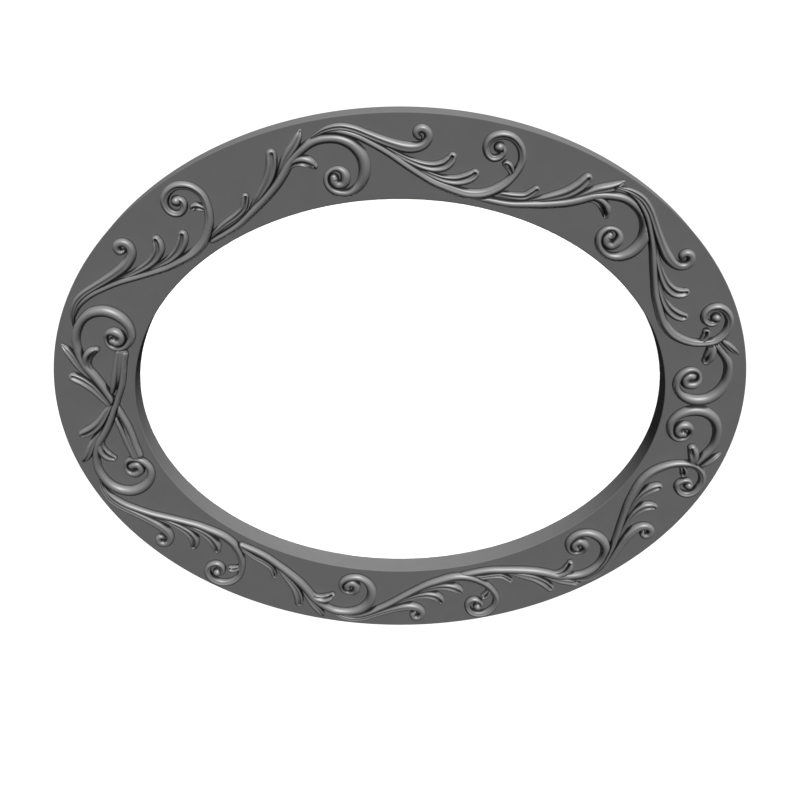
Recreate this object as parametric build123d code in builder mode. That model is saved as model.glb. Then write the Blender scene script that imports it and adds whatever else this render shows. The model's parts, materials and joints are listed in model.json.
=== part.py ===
from build123d import *
import os
from math import asin, ceil, cos, degrees, hypot, radians, sin, tan

# An oval wall frame for a picture, with a running scroll ornament laid on its flat face.
# Millimetres. X is the long way of the oval, +Z is up, and the front looks along -Y.
# The origin is the centre of the oval on the wall, so depths count forward from the wall.

os.makedirs("parts", exist_ok=True)

# Face ring: the flat oval board that shows
outer_width = 646.0
outer_height = 539.0
sight_width = 496.0
sight_height = 394.0
face_thickness = 22.0
arris = 0.8

# Picture package, from the glass back to the wall
rebate_lip = 6.0
glass_thickness = 2.0
card_thickness = 1.8
filler_thickness = 5.0
backing_thickness = 3.0
package_side_gap = 1.5
package_back_gap = 0.3

# Rebate ring: the plain ring behind the face ring that makes the pocket for the package
rebate_inset = 12.0

# Wood screws that join the two rings
frame_screw_count = 8
frame_screw_inset = 14.0
frame_screw_radius = 2.0
frame_screw_head_radius = 4.0
frame_screw_head_angle = 90.0
frame_screw_length = 26.0

# Turn buttons that keep the package in, each on a pan-head screw
button_count = 8
button_setback = 9.0
button_reach = 16.0
button_heel_radius = 5.5
button_tip_radius = 4.0
button_thickness = 1.5
button_play = 0.1
button_screw_radius = 1.5
button_screw_head_radius = 3.2
button_screw_head_height = 1.9
button_screw_length = 11.0
pivot_clearance = 0.08

# Strap hangers with a D-shaped ring
hanger_angle = 24.0
strap_width = 11.0
strap_thickness = 1.2
strap_length = 42.0
strap_end_share = 0.45
strap_hole_drop = 21.0
strap_hole_pitch = 13.0
wire_radius = 1.5
ring_width = 21.0
ring_height = 17.0
ring_corner = 3.2
ring_crown_share = 0.96
ring_rest_gap = 0.3
hanger_screw_radius = 1.7
hanger_screw_head_radius = 3.5
hanger_screw_head_height = 2.2
hanger_screw_length = 11.0

# Screw heads and their drives
slot_width = 1.0
slot_depth = 0.9
pan_crown_share = 0.7

# Rubber bumpers that hold the frame off the wall
bumper_height = 7.0
bumper_radius = 8.0
bumper_round = 3.0
bumper_angles = (235.0, 305.0)

# Ornament: two castings, each drawn along an arc that bends as the oval does where it lies on the face
end_radius = 195.0
side_radius = 245.0
crown_radius = 320.0
drawn_half_length = 817.0
drawn_half_band = 36.0
scroll_places = (76.2, 354.7, 610.5, 787.9)
frond_places = (158.1, 425.4, 671.2)
scroll_feet = ((-115, -27), (1, -15))
frond_feet = ((-60, 27), (60, 17))
relief_foot = 1.6
relief_rise = 1.05
shoulder_share = 0.62
shoulder_inset = 0.8
root_depth = 2.0
root_step = 0.25
station_length = 24.0
station_bend = 34.0
trace_steps = 240
eye_sides = 9
eye_crown = 0.4
crumb_volume = 60.0

# Depths forward of the wall
back_face = bumper_height
package_depth = glass_thickness + card_thickness + filler_thickness + backing_thickness
rebate_depth = package_depth + package_back_gap
joint_face = back_face + rebate_depth
front_face = joint_face + face_thickness

# Ovals that the pieces share
rebate_width = outer_width - 2 * rebate_inset
rebate_height = outer_height - 2 * rebate_inset
glass_width = sight_width + 2 * rebate_lip
glass_height = sight_height + 2 * rebate_lip
pocket_width = glass_width + 2 * package_side_gap
pocket_height = glass_height + 2 * package_side_gap
band_width = (outer_width + sight_width) / 2
band_height = (outer_height + sight_height) / 2
half_band = min(outer_width - sight_width, outer_height - sight_height) / 4


def oval_normal(width, height, angle):
    """Outward direction (x, z) of an oval at an angle of its parameter."""
    x = cos(radians(angle)) * height
    z = sin(radians(angle)) * width
    return x / hypot(x, z), z / hypot(x, z)


def oval_point(width, height, angle, out=0.0):
    """Point (x, z) on an oval, moved outward by a distance."""
    normal_x, normal_z = oval_normal(width, height, angle)
    x = width / 2 * cos(radians(angle)) + out * normal_x
    z = height / 2 * sin(radians(angle)) + out * normal_z
    return x, z


def back_seat(x, z, forward, toward=(1.0, 0.0)):
    """Plane at a depth forward of the wall that faces the wall, with its X turned toward."""
    return Plane(origin=(x, -forward, z), x_dir=(toward[0], 0, toward[1]), z_dir=(0, 1, 0))


def spread(count, first):
    """Evenly spread angles, from a first one."""
    return [first + 360.0 * k / count for k in range(count)]


# Places of the fasteners and fittings on the back
frame_screw_seats = []
for angle in spread(frame_screw_count, 180.0 / frame_screw_count):
    x, z = oval_point(rebate_width, rebate_height, angle, -frame_screw_inset)
    frame_screw_seats.append(back_seat(x, z, back_face))

button_seats = []
for angle in spread(button_count, 0.0):
    x, z = oval_point(pocket_width, pocket_height, angle, button_setback)
    normal_x, normal_z = oval_normal(pocket_width, pocket_height, angle)
    button_seats.append(back_seat(x, z, back_face, (-normal_x, -normal_z)))

bumper_seats = []
rebate_mid_width = (rebate_width + pocket_width) / 2
rebate_mid_height = (rebate_height + pocket_height) / 2
for angle in bumper_angles:
    x, z = oval_point(rebate_mid_width, rebate_mid_height, angle)
    bumper_seats.append(back_seat(x, z, back_face))

eye_bore = wire_radius + pivot_clearance
eye_radius = eye_bore + strap_thickness
hanger_x, hanger_z = oval_point(rebate_mid_width, rebate_mid_height, hanger_angle)
pivot_z = hanger_z + strap_length / 2
pivot_forward = back_face - eye_radius
hanger_sides = {"right": hanger_x, "left": -hanger_x}
hanger_drops = (strap_hole_drop, strap_hole_drop + strap_hole_pitch)
hanger_screw_seats = []
for x in hanger_sides.values():
    for drop in hanger_drops:
        hanger_screw_seats.append(back_seat(x, pivot_z - drop, back_face))


# Face ring
with BuildPart() as face_ring:
    with BuildSketch(Plane.XZ.offset(joint_face)):
        Ellipse(outer_width / 2, outer_height / 2)
        Ellipse(sight_width / 2, sight_height / 2, mode=Mode.SUBTRACT)
    extrude(amount=face_thickness)
    fillet(face_ring.faces().sort_by(Axis.Y)[0].edges(), radius=arris)
    with Locations(*[seat.offset(-rebate_depth) for seat in frame_screw_seats]):
        Hole(frame_screw_radius, depth=frame_screw_length - rebate_depth)
face_ring.part.label = "face_ring"
export_step(face_ring.part, "parts/face_ring.step")

# Rebate ring, drilled for every screw that enters it
with BuildPart() as rebate_ring:
    with BuildSketch(Plane.XZ.offset(back_face)):
        Ellipse(rebate_width / 2, rebate_height / 2)
        Ellipse(pocket_width / 2, pocket_height / 2, mode=Mode.SUBTRACT)
    extrude(amount=rebate_depth)
    with Locations(*frame_screw_seats):
        CounterSinkHole(
            frame_screw_radius,
            frame_screw_head_radius,
            depth=rebate_depth,
            counter_sink_angle=frame_screw_head_angle,
        )
    with Locations(*button_seats):
        Hole(button_screw_radius, depth=button_screw_length - button_thickness - 2 * button_play)
    with Locations(*hanger_screw_seats):
        Hole(hanger_screw_radius, depth=hanger_screw_length - strap_thickness)
rebate_ring.part.label = "rebate_ring"
export_step(rebate_ring.part, "parts/rebate_ring.step")

# Picture package, each layer an oval sheet resting on the one before
package_layers = {
    "glass_pane": glass_thickness,
    "picture_card": card_thickness,
    "filler_board": filler_thickness,
    "backing_board": backing_thickness,
}
layer_front = joint_face
for layer_name, layer_thickness in package_layers.items():
    with BuildPart() as layer:
        with BuildSketch(Plane.XZ.offset(layer_front)):
            Ellipse(glass_width / 2, glass_height / 2)
        extrude(amount=-layer_thickness)
    layer.part.label = layer_name
    export_step(layer.part, f"parts/{layer_name}.step")
    layer_front -= layer_thickness

# Countersunk wood screws through the rebate ring into the face ring
with BuildPart() as frame_screws:
    head_height = (frame_screw_head_radius - frame_screw_radius) / tan(radians(frame_screw_head_angle / 2))
    for seat in frame_screw_seats:
        with Locations(seat):
            Cone(
                frame_screw_radius,
                frame_screw_head_radius,
                head_height,
                align=(Align.CENTER, Align.CENTER, Align.MAX),
            )
        with Locations(seat.offset(-head_height)):
            Cylinder(
                frame_screw_radius,
                frame_screw_length - head_height,
                align=(Align.CENTER, Align.CENTER, Align.MAX),
            )
        with Locations(seat):
            Box(
                2 * frame_screw_head_radius,
                slot_width,
                slot_depth,
                align=(Align.CENTER, Align.CENTER, Align.MAX),
                mode=Mode.SUBTRACT,
            )
frame_screws.part.label = "frame_screws"
export_step(frame_screws.part, "parts/frame_screws.step")


def pan_screw(seat, grip, radius, length, head_radius, head_height):
    """One slotted pan-head screw whose head bears at a grip above its seat."""
    bearing = seat.offset(grip)
    with Locations(bearing):
        Cylinder(radius, length, align=(Align.CENTER, Align.CENTER, Align.MAX))
        Cone(
            head_radius,
            head_radius * pan_crown_share,
            head_height,
            align=(Align.CENTER, Align.CENTER, Align.MIN),
        )
    with Locations(bearing.offset(head_height)):
        Box(
            2 * head_radius,
            slot_width,
            slot_depth,
            align=(Align.CENTER, Align.CENTER, Align.MAX),
            mode=Mode.SUBTRACT,
        )


button_grip = button_thickness + 2 * button_play
with BuildPart() as button_screws:
    for seat in button_seats:
        pan_screw(
            seat,
            button_grip,
            button_screw_radius,
            button_screw_length,
            button_screw_head_radius,
            button_screw_head_height,
        )
button_screws.part.label = "button_screws"
export_step(button_screws.part, "parts/button_screws.step")

with BuildPart() as hanger_screws:
    for seat in hanger_screw_seats:
        pan_screw(
            seat,
            strap_thickness,
            hanger_screw_radius,
            hanger_screw_length,
            hanger_screw_head_radius,
            hanger_screw_head_height,
        )
hanger_screws.part.label = "hanger_screws"
export_step(hanger_screws.part, "parts/hanger_screws.step")

# Turn buttons: a tapered plate that turns on its screw and reaches over the backing board
for number, seat in enumerate(button_seats, start=1):
    with BuildPart() as turn_button:
        with BuildSketch(seat.offset(button_play)):
            Circle(button_heel_radius)
            with Locations((button_reach, 0)):
                Circle(button_tip_radius)
            make_hull()
            Circle(button_screw_radius + pivot_clearance, mode=Mode.SUBTRACT)
        extrude(amount=button_thickness)
    turn_button.part.label = f"turn_button_{number}"
    export_step(turn_button.part, f"parts/turn_button_{number}.step")

# Strap hangers: a strip rolled into an eye at its upper end, and the ring in that eye
ring_lean = degrees(asin((eye_radius - wire_radius - ring_rest_gap) / ring_height))
for side, x in hanger_sides.items():
    with BuildPart() as strap:
        with BuildSketch(Plane(origin=(x - strap_width / 2, 0, 0), x_dir=(0, 1, 0), z_dir=(1, 0, 0))):
            with Locations((-pivot_forward, pivot_z)):
                Circle(eye_radius)
            with Locations((-back_face, pivot_z)):
                Rectangle(strap_thickness, strap_length, align=(Align.MIN, Align.MAX))
            with Locations((-pivot_forward, pivot_z)):
                Circle(eye_bore, mode=Mode.SUBTRACT)
        extrude(amount=strap_width)
        foot = strap.faces().sort_by(Axis.Z)[0]
        fillet(foot.edges().filter_by(Axis.Y), radius=strap_end_share * strap_width)
        for drop in hanger_drops:
            with Locations(back_seat(x, pivot_z - drop, back_face - strap_thickness)):
                Hole(hanger_screw_radius, depth=strap_thickness)
    strap.part.label = f"hanger_strap_{side}"
    export_step(strap.part, f"parts/hanger_strap_{side}.step")

    ring_plane = Plane(
        origin=(x, -pivot_forward, pivot_z),
        x_dir=(1, 0, 0),
        z_dir=(0, -cos(radians(ring_lean)), -sin(radians(ring_lean))),
    )
    with BuildPart() as ring:
        half_ring = ring_width / 2 - wire_radius
        crown = ring_crown_share * half_ring
        with BuildLine(ring_plane) as ring_path:
            FilletPolyline(
                (-half_ring, 0),
                (half_ring, 0),
                (half_ring, ring_height),
                (-half_ring, ring_height),
                radius=(ring_corner, ring_corner, crown, crown),
                close=True,
            )
        start = ring_path.line.edges().sort_by_distance(ring_plane.origin)[0]
        with BuildSketch(Plane(origin=start @ 0.5, z_dir=start % 0.5)):
            Circle(wire_radius)
        sweep(path=ring_path.line)
    ring.part.label = f"hanger_ring_{side}"
    export_step(ring.part, f"parts/hanger_ring_{side}.step")

# Bumpers
with BuildPart() as wall_bumpers:
    for seat in bumper_seats:
        with Locations(seat):
            Cylinder(bumper_radius, bumper_height, align=(Align.CENTER, Align.CENTER, Align.MIN))
    fillet(wall_bumpers.faces().filter_by(Axis.Y).group_by(Axis.Y)[-1].edges(), radius=bumper_round)
wall_bumpers.part.label = "wall_bumpers"
export_step(wall_bumpers.part, "parts/wall_bumpers.step")

# Strokes of the ornament, drawn on the strip as (along, across, half width) from a volute's eye.
# The scroll: a stem that swells into a C and winds into a volute, with leaves and tendrils.
scroll_tail = [
    (-133, -27, 2.2),
    (-115, -27.3, 2.8),
    (-100, -25.8, 3.0),
    (-85, -21.5, 3.2),
    (-70, -15.8, 3.6),
    (-55, -8, 4.0),
    (-45, -0.5, 4.2),
]
scroll_crook = [
    (-36, 8, 4.2),
    (-25, 14.8, 4.0),
    (-12, 19.6, 4.0),
    (3, 18.6, 4.2),
    (14, 13, 4.9),
    (21, 4, 5.3),
    (23.2, -5, 5.3),
    (22, -14, 5.0),
    (17, -22, 4.2),
    (8, -26.8, 3.6),
    (-1, -26.3, 3.5),
    (-8, -22, 3.7),
    (-10.5, -15, 3.8),
    (-8, -9.5, 3.2),
    (-2, -7, 2.4),
    (4, -8.5, 2.4),
    (7, -13, 2.6),
    (6, -18, 2.8),
    (2, -19, 2.8),
]
scroll_end_tail = [
    (-138, -25.6, 2.9),
    (-127, -26, 3.0),
    (-115, -26.5, 3.0),
    (-100, -25.4, 3.1),
    (-85, -21.5, 3.2),
    (-70, -15.8, 3.6),
    (-55, -8, 4.0),
    (-45, -0.5, 4.2),
]
scroll_upper_leaf = [(-43, 8, 2.5), (-35, 15.5, 3.6), (-29, 20.3, 3.6), (-24.5, 26, 3.0), (-21.2, 31.3, 1.0)]
scroll_lower_leaf = [
    (-47, -2, 2.4),
    (-41, 3.6, 3.2),
    (-34, 6.8, 4.0),
    (-26.5, 6.4, 4.7),
    (-20.5, 3, 4.6),
    (-16.4, -1.8, 2.6),
]
scroll_tendrils = [
    [
        (-84, -18, 1.5),
        (-70, -9.5, 3.2),
        (-58, 0, 4.2),
        (-51.8, 9, 4.5),
        (-49.2, 16, 4.3),
        (-48.4, 20, 3.4),
        (-48.1, 22.8, 1.6),
    ],
    [
        (-125, -25, 1.2),
        (-112, -21.5, 2.0),
        (-99, -18.8, 2.6),
        (-89.5, -15.5, 2.9),
        (-84.8, -10.5, 2.8),
        (-82.3, -6, 2.4),
        (-81.3, -3.6, 1.2),
    ],
]
scroll_end_tendril = [(-138, -19.6, 2.8), (-126, -19.6, 2.9), (-112, -19.2, 3.0), (-101, -18.2, 3.0), (-92, -16.6, 2.4)]
scroll_eye = (1, -15, 4.6)

# The frond: a long stem that ends in a volute, a bud that curls over, two tendrils and a leaf.
frond_stem = [
    (-64, 24.5, 1.6),
    (-52, 19.5, 2.4),
    (-40, 12, 2.7),
    (-27, 3.5, 2.9),
    (-13, -6.3, 3.0),
    (1.5, -14.7, 3.1),
    (13, -20, 3.4),
    (25, -23.2, 4.0),
    (36.5, -25.4, 4.4),
    (46, -25.8, 4.4),
    (58, -23.2, 4.4),
    (68, -17, 4.2),
    (76, -8, 3.8),
    (80.5, 3, 3.6),
    (81.2, 12, 3.5),
    (76.8, 21.5, 3.6),
    (68.5, 27.3, 3.8),
    (60, 27.3, 3.9),
    (53.2, 23, 3.8),
    (50.8, 16, 3.3),
    (53, 10.2, 2.6),
    (58, 8, 2.2),
    (62.6, 10, 2.4),
    (63.3, 15, 2.6),
    (60.5, 18, 2.8),
]
frond_bud = [
    (-82, 24, 0.9),
    (-72, 27.4, 2.0),
    (-62, 27.6, 2.5),
    (-52, 24.3, 3.1),
    (-42, 19, 3.6),
    (-32, 14, 4.0),
    (-22, 10, 4.4),
    (-13, 7.6, 4.9),
    (-5, 7.5, 4.6),
    (1.5, 10, 4.1),
    (5, 15.2, 3.8),
    (4.2, 20.8, 3.7),
    (-0.2, 23.8, 3.7),
    (-4.2, 21.6, 3.2),
    (-5, 18.6, 2.0),
]
frond_tendrils = [
    [
        (-31, 9, 1.2),
        (-18, 1.2, 2.4),
        (-7, -3.8, 2.9),
        (3, -6.6, 3.4),
        (12, -7.4, 3.6),
        (20.5, -5.2, 3.5),
        (25.4, 0, 3.1),
        (27, 4.4, 2.4),
        (27.2, 7.4, 1.2),
    ],
    [
        (-9, -7, 1.2),
        (3, -11.5, 2.2),
        (13, -14.8, 2.8),
        (23, -16.7, 3.3),
        (33, -16.4, 3.6),
        (42, -13.4, 3.5),
        (47.2, -9, 2.9),
        (48.8, -5.4, 1.4),
    ],
    [(79, -4, 1.5), (75.5, 1.5, 2.6), (72, 4.8, 2.8), (68, 6, 1.4)],
]
frond_eye = (59.8, 16.3, 4.3)

scroll_strokes = [scroll_tail + scroll_crook, scroll_upper_leaf, scroll_lower_leaf, *scroll_tendrils]
end_scroll_strokes = [
    scroll_end_tail + scroll_crook,
    scroll_upper_leaf,
    scroll_lower_leaf,
    scroll_tendrils[0],
    scroll_end_tendril,
]
short_scroll_strokes = [scroll_crook, scroll_upper_leaf[1:], scroll_lower_leaf[2:]]
frond_strokes = [frond_stem, frond_bud, *frond_tendrils]

along_share = 0.5 / drawn_half_length
drawn_scale = half_band / drawn_half_band
face_plane = Plane.XZ.offset(front_face)

with BuildLine() as band_line:
    EllipticalCenterArc((0, 0), band_width / 2, band_height / 2, start_angle=0, arc_size=360)


def on_band(along, across):
    """Point (x, z) of the face: along the band from the oval's left end, and across it outward."""
    share = (0.5 - along * along_share) % 1.0
    point = band_line.line @ share
    tangent = band_line.line % share
    out = across * drawn_scale
    return Vector(point.X + out * tangent.Y, point.Y - out * tangent.X)


def on_arc(along, across, radius):
    """Point (x, y) of a casting, flat: along the arc that it is drawn on, and across it outward."""
    turn = along / radius
    reach = radius + across
    return Vector(reach * sin(turn), reach * cos(turn) - radius) * drawn_scale


def lie_on_band(feet, place, radius):
    """Plane that lays a casting on the face with its two feet where the band has them."""
    flat = [on_arc(*foot, radius) for foot in feet]
    laid = [on_band(place + along, across) for along, across in feet]
    turn = (flat[1] - flat[0]).get_signed_angle(laid[1] - laid[0], Vector(0, 0, 1))
    flat_middle = ((flat[0] + flat[1]) / 2).rotate(Axis.Z, turn)
    origin = (laid[0] + laid[1]) / 2 - flat_middle
    return Plane(
        origin=(origin.X, -front_face, origin.Y),
        x_dir=(cos(radians(turn)), 0, sin(radians(turn))),
        z_dir=(0, -1, 0),
    )


def stations(stroke, radius):
    """Places along a stroke, closer together where it bends, each with its direction."""
    flat = [on_arc(along, across, radius) for along, across, half in stroke]
    with BuildLine() as drawn:
        Spline(*[(spot.X, spot.Y, half) for spot, (along, across, half) in zip(flat, stroke)])
    curve = drawn.edges()[0]
    points = [curve @ (k / trace_steps) for k in range(trace_steps + 1)]
    travel = [0.0]
    for before, point, after in zip(points, points[1:], points[2:]):
        bend = (point - before).get_angle(after - point)
        travel.append(travel[-1] + (point - before).length / station_length + bend / station_bend)
    travel.append(travel[-1] + 1 / trace_steps)
    count = max(3, ceil(travel[-1]))
    places = []
    for n in range(count + 1):
        target = travel[-1] * n / count
        k = min(range(trace_steps + 1), key=lambda step: abs(travel[step] - target))
        places.append((points[k], curve % (k / trace_steps)))
    return places


def carve_stroke(stroke, root, radius):
    """Loft one ridge of a casting through its stations, rooted below the face."""
    sections = []
    for point, ahead in stations(stroke, radius):
        half = point.Z * drawn_scale
        crest = (relief_foot + relief_rise * point.Z) * drawn_scale
        section = Plane(
            origin=(point.X, point.Y, 0),
            x_dir=(-ahead.Y, ahead.X, 0),
            z_dir=(ahead.X, ahead.Y, 0),
        )
        with BuildSketch(section) as outline:
            with BuildLine():
                Polyline(
                    (-half, -root),
                    (half, -root),
                    (shoulder_inset * half, shoulder_share * crest),
                    (0, crest),
                    (-shoulder_inset * half, shoulder_share * crest),
                    close=True,
                )
            make_face()
        sections.append(outline.sketch)
    loft(sections, ruled=True)


def carve_eye(eye, root, radius):
    """Loft the bead at the heart of a volute."""
    along, across, size = eye
    centre = on_arc(along, across, radius)
    crest = (relief_foot + relief_rise * size) * drawn_scale
    sections = []
    for rise, share in ((-root, 1.0), (shoulder_share * crest, shoulder_inset), (crest, eye_crown)):
        with BuildSketch(Plane(origin=(centre.X, centre.Y, rise))) as outline:
            RegularPolygon(share * size * drawn_scale, eye_sides)
        sections.append(outline.sketch)
    loft(sections, ruled=True)


def carve(strokes, eye, radius):
    """Carve all the strokes of a casting and its eye, each rooted a step deeper than the last."""
    for number, stroke in enumerate(strokes):
        carve_stroke(stroke, root_depth + number * root_step, radius)
    carve_eye(eye, root_depth + len(strokes) * root_step, radius)


with BuildPart() as side_frond_casting:
    carve(frond_strokes, frond_eye, side_radius)

with BuildPart() as crown_frond_casting:
    carve(frond_strokes, frond_eye, crown_radius)

with BuildPart() as end_scroll_casting:
    carve(end_scroll_strokes, scroll_eye, end_radius)

with BuildPart() as crown_scroll_casting:
    carve(scroll_strokes, scroll_eye, crown_radius)

with BuildPart() as short_scroll_casting:
    carve(short_scroll_strokes, scroll_eye, end_radius)

frond_castings = (side_frond_casting, crown_frond_casting, side_frond_casting)
frond_radii = (side_radius, crown_radius, side_radius)
scroll_castings = (end_scroll_casting, crown_scroll_casting, crown_scroll_casting, short_scroll_casting)
scroll_radii = (end_radius, crown_radius, crown_radius, end_radius)

# Upper half, still rooted: the fronds whole, and the scrolls cut where a frond lies over them
rooted_fronds = []
for casting, place, radius in zip(frond_castings, frond_places, frond_radii):
    with BuildPart() as rooted_frond:
        with Locations(lie_on_band(frond_feet, place, radius)):
            add(casting.part)
    rooted_fronds.append(rooted_frond.part)

rooted_scrolls = []
for number, place in enumerate(scroll_places):
    last = number == len(scroll_places) - 1
    with BuildPart() as rooted_scroll:
        with Locations(lie_on_band(scroll_feet, place, scroll_radii[number])):
            add(scroll_castings[number].part)
        for frond_part in rooted_fronds[max(0, number - 1) : number + 1]:
            add(frond_part, mode=Mode.SUBTRACT)
        if last:
            split(bisect_by=Plane.XY, keep=Keep.TOP)
    rooted_scrolls.append(rooted_scroll.part)

# The tails of the two left scrolls cross: the lower one runs on over the upper one
with BuildPart() as crossing_tail:
    mirror(rooted_scrolls[0], about=Plane.XY)


def without_crumbs(solids):
    """Solids that a cut leaves, without the crumbs."""
    return solids.filter_by(lambda solid: solid.volume > crumb_volume)


for number, rooted in enumerate(rooted_fronds, start=1):
    for half in ("upper", "lower"):
        with BuildPart() as frond:
            add(rooted)
            split(bisect_by=face_plane, keep=Keep.TOP)
            if half == "lower":
                mirror(about=Plane.XY, mode=Mode.REPLACE)
        frond.part.label = f"{half}_frond_{number}"
        export_step(frond.part, f"parts/{half}_frond_{number}.step")

for number, rooted in enumerate(rooted_scrolls, start=1):
    for half in ("upper", "lower"):
        with BuildPart() as cut_scroll:
            add(rooted)
            if number == 1 and half == "upper":
                add(crossing_tail.part, mode=Mode.SUBTRACT)
            split(bisect_by=face_plane, keep=Keep.TOP)
            if half == "lower":
                mirror(about=Plane.XY, mode=Mode.REPLACE)
        with BuildPart() as scroll:
            add(without_crumbs(cut_scroll.solids()))
        scroll.part.label = f"{half}_scroll_{number}"
        export_step(scroll.part, f"parts/{half}_scroll_{number}.step")
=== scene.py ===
"""An oval picture frame with a running scroll ornament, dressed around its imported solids.

Lengths are millimetres until a mesh is written, where MM turns them into metres. X is the long way
of the oval, +Z is up, the face looks along -Y and the wall is the plane Y = 0.
"""

import json
import logging
import math
from dataclasses import dataclass

import bmesh
import bpy
from mathutils import Matrix, Vector
from mathutils.geometry import interpolate_bezier
from mathutils.kdtree import KDTree

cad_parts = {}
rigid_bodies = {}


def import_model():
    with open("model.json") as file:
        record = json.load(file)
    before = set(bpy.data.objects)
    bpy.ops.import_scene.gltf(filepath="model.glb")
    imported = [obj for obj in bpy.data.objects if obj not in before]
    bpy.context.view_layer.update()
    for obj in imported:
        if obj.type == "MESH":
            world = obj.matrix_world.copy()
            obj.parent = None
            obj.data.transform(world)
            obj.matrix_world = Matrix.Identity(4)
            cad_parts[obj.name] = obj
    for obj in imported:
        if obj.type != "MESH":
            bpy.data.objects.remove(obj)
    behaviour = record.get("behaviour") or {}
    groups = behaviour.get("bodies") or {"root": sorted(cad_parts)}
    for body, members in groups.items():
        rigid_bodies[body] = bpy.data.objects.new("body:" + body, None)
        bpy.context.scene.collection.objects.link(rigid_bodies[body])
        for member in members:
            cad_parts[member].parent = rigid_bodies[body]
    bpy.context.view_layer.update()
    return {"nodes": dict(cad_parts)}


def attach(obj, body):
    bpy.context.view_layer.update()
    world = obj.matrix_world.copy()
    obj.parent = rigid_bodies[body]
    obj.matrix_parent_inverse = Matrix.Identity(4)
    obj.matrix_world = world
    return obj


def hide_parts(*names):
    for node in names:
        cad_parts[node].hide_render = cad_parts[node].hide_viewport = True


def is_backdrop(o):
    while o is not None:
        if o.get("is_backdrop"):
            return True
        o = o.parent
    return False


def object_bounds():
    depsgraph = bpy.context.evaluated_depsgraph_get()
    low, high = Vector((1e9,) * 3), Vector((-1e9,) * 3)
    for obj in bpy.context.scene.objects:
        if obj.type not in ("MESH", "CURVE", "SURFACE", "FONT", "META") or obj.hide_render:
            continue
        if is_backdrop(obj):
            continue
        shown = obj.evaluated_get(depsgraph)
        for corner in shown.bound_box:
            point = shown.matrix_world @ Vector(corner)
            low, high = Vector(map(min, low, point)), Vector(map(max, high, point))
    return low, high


MM = 0.001
WELD = 0.002
SLIVER = 0.001
TOUCH = 0.01
FIXED = "frame"
FLAT_CREASE = 12.0
ROUND_CREASE = 60.0
WAVE_BANDS_PER_SCALE = 3.2
log = logging.getLogger("oval_frame")

Socket = bpy.types.NodeSocket
Material = bpy.types.Material
Mesh = bmesh.types.BMesh
Edges = list[bmesh.types.BMEdge]
Triple = tuple[float, float, float]


def add_node(tree: bpy.types.NodeTree, kind: str, **settings: object) -> bpy.types.Node:
    """Add a node and set its properties and unlinked inputs.

    Args:
        tree: Node tree that it goes in.
        kind: Node type.
        settings: Property names or input names (with _ for a space) and their values.

    Returns:
        The new node.
    """
    node = tree.nodes.new(kind)
    for key, value in settings.items():
        if hasattr(node, key):
            setattr(node, key, value)
        else:
            node.inputs[key.replace("_", " ")].default_value = value
    return node


class Shade:
    """Builds one node material, a node at a time."""

    def __init__(self, name: str) -> None:
        """Start a material with a Principled shader on its output.

        Args:
            name: Name of the material.
        """
        self.material = bpy.data.materials.new(name)
        self.material.use_nodes = True
        self.tree = self.material.node_tree
        self.tree.nodes.clear()
        self.output = self.add("ShaderNodeOutputMaterial")
        self.skin = self.add("ShaderNodeBsdfPrincipled")
        self.link(self.skin.outputs["BSDF"], self.output.inputs["Surface"])

    def add(self, kind: str, **settings: object) -> bpy.types.Node:
        """Add a node to the material, as add_node does."""
        return add_node(self.tree, kind, **settings)

    def set_skin(self, **values: float) -> None:
        """Set unlinked inputs of the Principled shader, named with _ for a space."""
        for key, value in values.items():
            self.skin.inputs[key.replace("_", " ")].default_value = value

    def link(self, source: Socket, target: Socket) -> None:
        """Join an output to an input."""
        self.tree.links.new(source, target)

    def place(self, stretch: Triple = (1.0, 1.0, 1.0)) -> Socket:
        """Object coordinates, stretched.

        Args:
            stretch: Scale along X, Y and Z.

        Returns:
            The mapped vector.
        """
        where = self.add("ShaderNodeTexCoord")
        mapping = self.add("ShaderNodeMapping", Scale=stretch)
        self.link(where.outputs["Object"], mapping.inputs["Vector"])
        return mapping.outputs["Vector"]

    def noise(self, vector: Socket, scale: float, detail: float = 3.0) -> Socket:
        """A noise pattern.

        Args:
            vector: Where it is read.
            scale: Spots to a metre.
            detail: Octaves.

        Returns:
            Its factor.
        """
        node = self.add("ShaderNodeTexNoise", Scale=scale, Detail=detail)
        self.link(vector, node.inputs["Vector"])
        return node.outputs["Fac"]

    def ramp(self, factor: Socket, stops: list[tuple[float, Triple]]) -> Socket:
        """A colour ramp.

        Args:
            factor: What drives it.
            stops: Places and colours.

        Returns:
            Its colour.
        """
        node = self.add("ShaderNodeValToRGB")
        elements = node.color_ramp.elements
        while len(elements) < len(stops):
            elements.new(0.5)
        for element, (place, colour) in zip(elements, stops):
            element.position = place
            element.color = (*colour, 1.0)
        self.link(factor, node.inputs["Fac"])
        return node.outputs["Color"]

    def blend(self, factor: Socket, first: Socket, second: Socket) -> Socket:
        """Mix two colours.

        Args:
            factor: 0 for the first, 1 for the second.
            first: A colour.
            second: A colour.

        Returns:
            The mixed colour.
        """
        node = self.add("ShaderNodeMix", data_type="RGBA")
        self.link(factor, node.inputs[0])
        self.link(first, node.inputs[6])
        self.link(second, node.inputs[7])
        return node.outputs[2]

    def bump(self, height: Socket, strength: float, depth: float) -> None:
        """Bump the skin.

        Args:
            height: Height pattern.
            strength: Share of the bump that shows.
            depth: Depth of the pattern in metres.
        """
        node = self.add("ShaderNodeBump", Strength=strength, Distance=depth)
        self.link(height, node.inputs["Height"])
        self.link(node.outputs["Normal"], self.skin.inputs["Normal"])


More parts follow.
